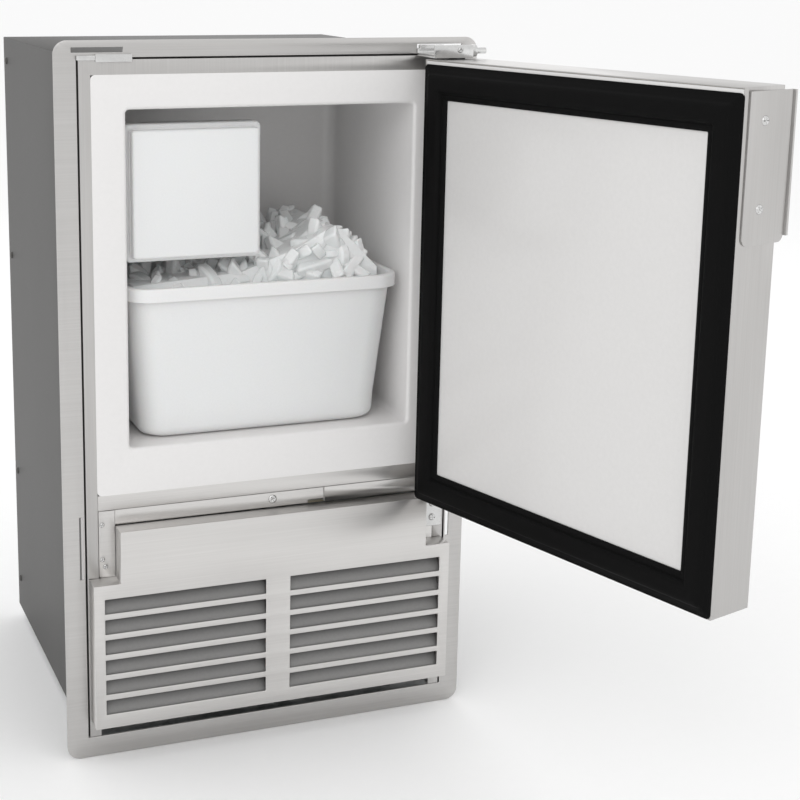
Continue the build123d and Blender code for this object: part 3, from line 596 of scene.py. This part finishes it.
# ---- refrigeration gear ----
# Below the deck: a black enamelled compressor on rubber mounts, a moulded fan and shroud,
# copper lines and a condenser of thin aluminium fins.
enamel = surface("black_enamel", (0.012, 0.012, 0.013), (0.03, 0.03, 0.031), (0.18, 0.34),
                 (160, 160, 160), 0.0003, Coat_Weight=0.6, Coat_Roughness=0.2)
rubber = surface("rubber", (0.02, 0.02, 0.02), (0.04, 0.04, 0.04), (0.7, 0.85), (500, 500, 500), 0.0002)
black_plastic = surface("black_plastic", (0.02, 0.02, 0.021), (0.04, 0.04, 0.041), (0.42, 0.56),
                        (900, 900, 900), 0.0001)
grey_plastic = surface("grey_plastic", (0.4, 0.4, 0.4), (0.52, 0.52, 0.51), (0.4, 0.52),
                       (700, 700, 700), 0.0001)
brass = surface("brass", (0.6, 0.42, 0.14), (0.8, 0.6, 0.26), (0.24, 0.4), (30, 900, 30), 0.00004, 1.0)
milky = surface("clear_tube", (0.68, 0.71, 0.71), (0.84, 0.86, 0.86), (0.24, 0.36), (60, 60, 60), 0.0001,
                Transmission_Weight=0.4)
finish_nodes(enamel, "compressor", "fan_motor")
finish_nodes(rubber, "compressor_mounts")
finish_nodes(black_plastic, "fan_shroud", "fan_blades", "hinge_bushes")
finish_nodes(grey_plastic, "water_valve", "drive_motor", "ejector", "ejector_bearing")
finish_nodes(brass, "inlet_stub")
finish_nodes(milky, "fill_tube")
pressed("power_inlet", "cabinet", black_plastic, 0.0004)

fin_boxes = islands("condenser_fins")
fin_span = fin_boxes[0][1] - fin_boxes[0][0]
fin_ripple = 0.0006
fin_thickness = 0.0004
columns, rows = 2, 24
verts, faces = [], []
for row in range(rows + 1):
    for column in range(columns + 1):
        wave = fin_ripple * math.sin(row * math.pi / 2)
        verts.append((wave, (column / columns - 0.5) * fin_span.y, (row / rows - 0.5) * fin_span.z))
for row in range(rows):
    for column in range(columns):
        a = row * (columns + 1) + column
        faces.append((a, a + 1, a + columns + 2, a + columns + 1))
fin = new_piece("fin", verts, faces, aluminium)
fin_sheet = fin.modifiers.new("sheet", "SOLIDIFY")
fin_sheet.thickness = fin_thickness
fin_sheet.offset = 0.0
baked(fin)
places = [(lo + hi) / 2 for lo, hi in fin_boxes]
upright_turns, true_sizes = [(0, 0, 0)] * len(places), [(1, 1, 1)] * len(places)
fins = repeated("condenser_fin_pack", fin, places, upright_turns, true_sizes, aluminium)
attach(fins, "cabinet")
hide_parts("condenser_fins")

# ---- ice head ----
# White mouldings: the stepped front cover, the housing behind it, the stripper over the
# aluminium mould and the cup that takes the water.
white_plastic = surface("white_plastic", (0.76, 0.75, 0.745), (0.83, 0.82, 0.815), (0.36, 0.48),
                        (600, 600, 600), 0.00012, broad=4.0, Subsurface_Weight=0.05)
finish_nodes(white_plastic, "ice_stripper", "fill_cup")
pressed("drive_housing", "cabinet", white_plastic, 0.0012, 3)
lo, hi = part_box("head_cover")
cover_round = 0.0045
cover_ease = 0.4
cover_wall = 0.0018
cover_steps = ((0.0, 0.0125), (0.0006, 0.0112), (0.0022, 0.0106), (0.0034, 0.0104), (0.004, 0.0098),
               (0.0042, 0.0055), (0.0046, 0.0014), (0.0054, 0.0004), (0.0068, 0.0))
rings = []
for inset, y in [(0.0, hi.y)] + [(inset, lo.y + behind) for inset, behind in cover_steps]:
    rings.append(rounded_ring(lo.x + inset, hi.x - inset, lo.z + inset, hi.z - inset, y,
                              cover_round - inset * cover_ease))
verts, faces = skinned(rings, last_cap=True)
cover = new_piece("ice_head_cover", verts, faces, white_plastic, 60)
cover_sheet = cover.modifiers.new("sheet", "SOLIDIFY")
cover_sheet.thickness = cover_wall
cover_sheet.offset = -1.0
baked(cover)
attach(cover, "cabinet")
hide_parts("head_cover")

# ---- ice bin ----
# A thin-walled polypropylene tub that tapers to its floor, with soft corners and a rolled
# rim that slides along the cavity.
lo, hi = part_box("ice_bin")
bin_wall = 0.0022
rim_height = 0.012
rim_out = 0.004
bin_taper = 0.012
bin_corner = 0.024
floor_round = 0.009
floor_steps = 5
inner_tuck, outer_tuck = 0.004, 0.003
lip_drop = 0.004
rim_steps = ((0.0, rim_height), (0.0, 0.0015), (0.0005, 0.0004), (0.0015, 0.0), (rim_out + 0.0006, 0.0),
             (rim_out + 0.002, 0.0008))


def tub_ring(inset, z, radius, arc=8):
    """A level rounded rectangle set in from the bin's outer box."""
    flat = rounded_ring(lo.x + inset, hi.x - inset, lo.y + inset, hi.y - inset, 0.0, radius, arc)
    return [(x, y, z) for x, _, y in flat]


rings = [tub_ring(inset, hi.z - drop, bin_corner) for inset, drop in rim_steps]
depth = hi.z - lo.z
wall_steps = 8
for i in range(1, wall_steps + 1):
    down = i / wall_steps
    inset = rim_out + bin_wall + bin_taper * down
    rings.append(tub_ring(inset, hi.z - (depth - floor_round) * down, bin_corner))
for i in range(1, floor_steps + 1):
    angle = math.radians(90 * i / floor_steps)
    inset = rim_out + bin_wall + bin_taper + floor_round * (1 - math.cos(angle))
    height = lo.z + bin_wall + floor_round * (1 - math.sin(angle))
    rings.append(tub_ring(inset, height, bin_corner - inner_tuck))
under = [tub_ring(rim_out + bin_taper + floor_round, lo.z, bin_corner - inner_tuck)]
for i in range(1, floor_steps + 1):
    angle = math.radians(90 * i / floor_steps)
    inset = rim_out + bin_taper + floor_round * (1 - math.sin(angle))
    height = lo.z + floor_round * (1 - math.cos(angle))
    under.append(tub_ring(inset, height, bin_corner - outer_tuck))
for i in range(1, wall_steps + 1):
    up = i / wall_steps
    height = lo.z + floor_round + (depth - floor_round - lip_drop) * up
    under.append(tub_ring(rim_out + bin_taper * (1 - up), height, bin_corner))
for inset, drop in ((0.0015, lip_drop), (0.0013, rim_height)):
    under.append(tub_ring(inset, hi.z - drop, bin_corner))
verts, faces = skinned(rings, last_cap=True)
more, more_faces = skinned(under, first_cap=True)
shift = len(verts)
faces += [tuple(shift + i for i in face) for face in more_faces]
count = len(rings[0])
last_row = shift + len(more) - count
faces += [(i, (i + 1) % count, last_row + (i + 1) % count, last_row + i) for i in range(count)]
tub = new_piece("ice_tub", verts + more, faces, white_plastic, 60)
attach(tub, "bin")
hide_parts("ice_bin")

# ---- ice ----
# Loose crescents from the mould, frosted white, heaped to a ridge. A packed bed fills the
# bin below them.
ice = Paint("ice")
ice_place = ice.node("ShaderNodeTexCoord", {}, {}, "Object")
ice_fine = ice.node("ShaderNodeTexNoise", {}, {"Vector": ice_place, "Scale": 260.0, "Detail": 3.0})
ice_cloud = ice.node("ShaderNodeTexNoise", {}, {"Vector": ice_place, "Scale": 55.0, "Detail": 3.0})
ice_tone = ice.mix(ice_cloud, (0.88, 0.915, 0.915, 1.0), (0.995, 0.998, 0.995, 1.0))
ice.feed(ice.shader.inputs["Base Color"], ice_tone)
ice.feed(ice.shader.inputs["Roughness"], 0.08 + ice_cloud * 0.3)
ice.feed(ice.shader.inputs["Normal"], ice.bump(ice_fine, 0.5, 0.0006))
ice.shader.inputs["Transmission Weight"].default_value = 0.05
ice.shader.inputs["Subsurface Weight"].default_value = 0.35
ice.shader.inputs["Subsurface Radius"].default_value = (0.016, 0.018, 0.018)
ice.shader.inputs["IOR"].default_value = 1.31
heap_mesh = frame["nodes"]["ice_heap"].data
heap = BVHTree.FromPolygons([tuple(v.co) for v in heap_mesh.vertices],
                            [tuple(p.vertices) for p in heap_mesh.polygons])
heap_lo, heap_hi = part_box("ice_heap")
columns, rows = 48, 32
edge_gap = 0.016
piece_sink = 0.009
probe_height = 0.1


def heap_top(x, y):
    """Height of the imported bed's upper side at a point."""
    hit = heap.ray_cast(Vector((x, y, heap_hi.z + probe_height)), Vector((0, 0, -1)))[0]
    return hit.z if hit else heap_lo.z


verts, faces = [], []
for row in range(rows + 1):
    for column in range(columns + 1):
        x = heap_lo.x + edge_gap + (heap_hi.x - heap_lo.x - 2 * edge_gap) * column / columns
        y = heap_lo.y + edge_gap + (heap_hi.y - heap_lo.y - 2 * edge_gap) * row / rows
        verts.append((x, y, heap_top(x, y) - piece_sink))
for row in range(rows):
    for column in range(columns):
        a = row * (columns + 1) + column
        faces.append((a, a + 1, a + columns + 2, a + columns + 1))


def crescent():
    """Half-moon of unit length: a flat back, a round belly and softened edges."""
    length, belly, half_thick = 1.0, 0.4, 0.13
    arc = 12
    outline = [(-length / 2 + length * i / arc, -belly * math.sin(math.pi * i / arc) ** 0.75)
               for i in range(arc + 1)]
    verts = [(x, half_thick * side * (0.75 + 0.25 * (1 + y)), y + belly / 2)
             for side in (-1, 1) for x, y in outline]
    n = arc + 1
    faces = [tuple(range(n)), tuple(range(2 * n - 1, n - 1, -1))]
    faces += [(i, i + 1, n + i + 1, n + i) for i in range(arc)]
    faces.append((arc, 0, n, n + arc))
    piece = new_piece("crescent", verts, faces, ice.material, 40)
    soft = piece.modifiers.new("round", "BEVEL")
    soft.width = 0.05
    soft.segments = 2
    soft.limit_method = "ANGLE"
    soft.angle_limit = math.radians(35)
    return baked(piece)


def scatter_tree():
    """Geometry nodes that strew a piece over a surface at random turns and sizes."""
    tree = bpy.data.node_groups.new("strew", "GeometryNodeTree")
    face = tree.interface
    face.new_socket("Surface", in_out="INPUT", socket_type="NodeSocketGeometry")
    face.new_socket("Piece", in_out="INPUT", socket_type="NodeSocketObject")
    face.new_socket("Density", in_out="INPUT", socket_type="NodeSocketFloat")
    face.new_socket("Seed", in_out="INPUT", socket_type="NodeSocketInt")
    face.new_socket("Smallest", in_out="INPUT", socket_type="NodeSocketFloat")
    face.new_socket("Largest", in_out="INPUT", socket_type="NodeSocketFloat")
    face.new_socket("Finish", in_out="INPUT", socket_type="NodeSocketMaterial")
    face.new_socket("Pieces", in_out="OUTPUT", socket_type="NodeSocketGeometry")
    start = tree.nodes.new("NodeGroupInput")
    end = tree.nodes.new("NodeGroupOutput")
    spots = tree.nodes.new("GeometryNodeDistributePointsOnFaces")
    piece = tree.nodes.new("GeometryNodeObjectInfo")
    spin = tree.nodes.new("FunctionNodeRandomValue")
    spin.data_type = "FLOAT_VECTOR"
    spin.inputs["Max"].default_value = (2 * math.pi, 2 * math.pi, 2 * math.pi)
    size = tree.nodes.new("FunctionNodeRandomValue")
    size.data_type = "FLOAT"
    put = tree.nodes.new("GeometryNodeInstanceOnPoints")
    real = tree.nodes.new("GeometryNodeRealizeInstances")
    finish = tree.nodes.new("GeometryNodeSetMaterial")
    link = tree.links.new
    link(start.outputs["Surface"], spots.inputs["Mesh"])
    link(start.outputs["Density"], spots.inputs["Density"])
    link(start.outputs["Seed"], spots.inputs["Seed"])
    link(start.outputs["Seed"], spin.inputs["Seed"])
    link(start.outputs["Seed"], size.inputs["Seed"])
    link(start.outputs["Piece"], piece.inputs["Object"])
    link(start.outputs["Smallest"], size.inputs[2])
    link(start.outputs["Largest"], size.inputs[3])
    link(spots.outputs["Points"], put.inputs["Points"])
    link(piece.outputs["Geometry"], put.inputs["Instance"])
    link(spin.outputs["Value"], put.inputs["Rotation"])
    link(size.outputs[1], put.inputs["Scale"])
    link(put.outputs["Instances"], real.inputs["Geometry"])
    link(real.outputs["Geometry"], finish.inputs["Geometry"])
    link(start.outputs["Finish"], finish.inputs["Material"])
    link(finish.outputs["Geometry"], end.inputs["Pieces"])
    return tree


strew = scatter_tree()
bed = new_piece("ice_crescents", verts, faces, ice.material, 180)
moon = crescent()
modifier = bed.modifiers.new("strew", "NODES")
modifier.node_group = strew
wanted = {"Piece": moon, "Density": 6200.0, "Seed": 11, "Smallest": 0.028, "Largest": 0.048,
          "Finish": ice.material}
for socket in strew.interface.items_tree:
    if socket.name in wanted:
        modifier[socket.identifier] = wanted[socket.name]
baked(bed)
bpy.data.objects.remove(moon)
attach(bed, "bin")
pressed("ice_heap", "bin", ice.material, 0.002)

# ---- door ----
# A brushed steel pan folded round foam, with a white formed panel on the inside and a
# folded steel pull screwed to the free edge.
white_panel = surface("white_panel", (0.63, 0.622, 0.615), (0.7, 0.692, 0.685), (0.2, 0.3),
                      (300, 300, 300), 0.00008, broad=1.5, Coat_Weight=0.3, Coat_Roughness=0.12)
# The skin and the pull take the darker copy of the brushed steel, and its extra darkness is painted shade.
pressed("door_skin", "door", shaded_steel_upright, 0.0007)
pressed("door_inner_panel", "door", white_panel, 0.001, 3)
pressed("handle", "door", shaded_steel_upright, 0.0004)

# ---- door gasket ----
# A black vinyl extrusion with mitred corners: a flat wing under the panel's edge, a bellows
# and the round bulge that holds the magnet strip.
vinyl = surface("black_gasket", (0.0025, 0.0025, 0.0026), (0.005, 0.005, 0.005), (0.5, 0.65),
                (420, 420, 420), 0.0001, Specular_IOR_Level=0.06)
gasket_points = [swing.inverted() @ v.co for v in frame["nodes"]["door_gasket"].data.vertices]
gasket_lo, gasket_hi = own_box(gasket_points)
band = 0.027
high = gasket_hi.y - gasket_lo.y
wing = -0.135        # the thin outer wing reaches almost to the edge of the door
seal_corner, least_corner, corner_loss = 0.0035, 0.001, 0.15
section = [(wing, 0.0), (wing, 0.12), (0.0, 0.16), (0.05, 0.42), (0.12, 0.45), (0.16, 0.7), (0.21, 0.93),
           (0.3, 1.0), (0.62, 1.0), (0.71, 0.93), (0.76, 0.7), (0.8, 0.42), (0.86, 0.5), (0.93, 0.42),
           (1.0, 0.2), (1.0, 0.0)]
rings = []
for across, proud in section:
    inset = across * band
    radius = max(least_corner, seal_corner - inset * corner_loss)
    rings.append(rounded_ring(gasket_lo.x + inset, gasket_hi.x - inset, gasket_lo.z + inset,
                              gasket_hi.z - inset, gasket_lo.y + high * proud, radius, 5))
verts, faces = skinned(rings, closed=True)
verts = [swing @ Vector(v) for v in verts]
seal = new_piece("door_seal", verts, faces, vinyl, 50)
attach(seal, "door")
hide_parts("door_gasket")
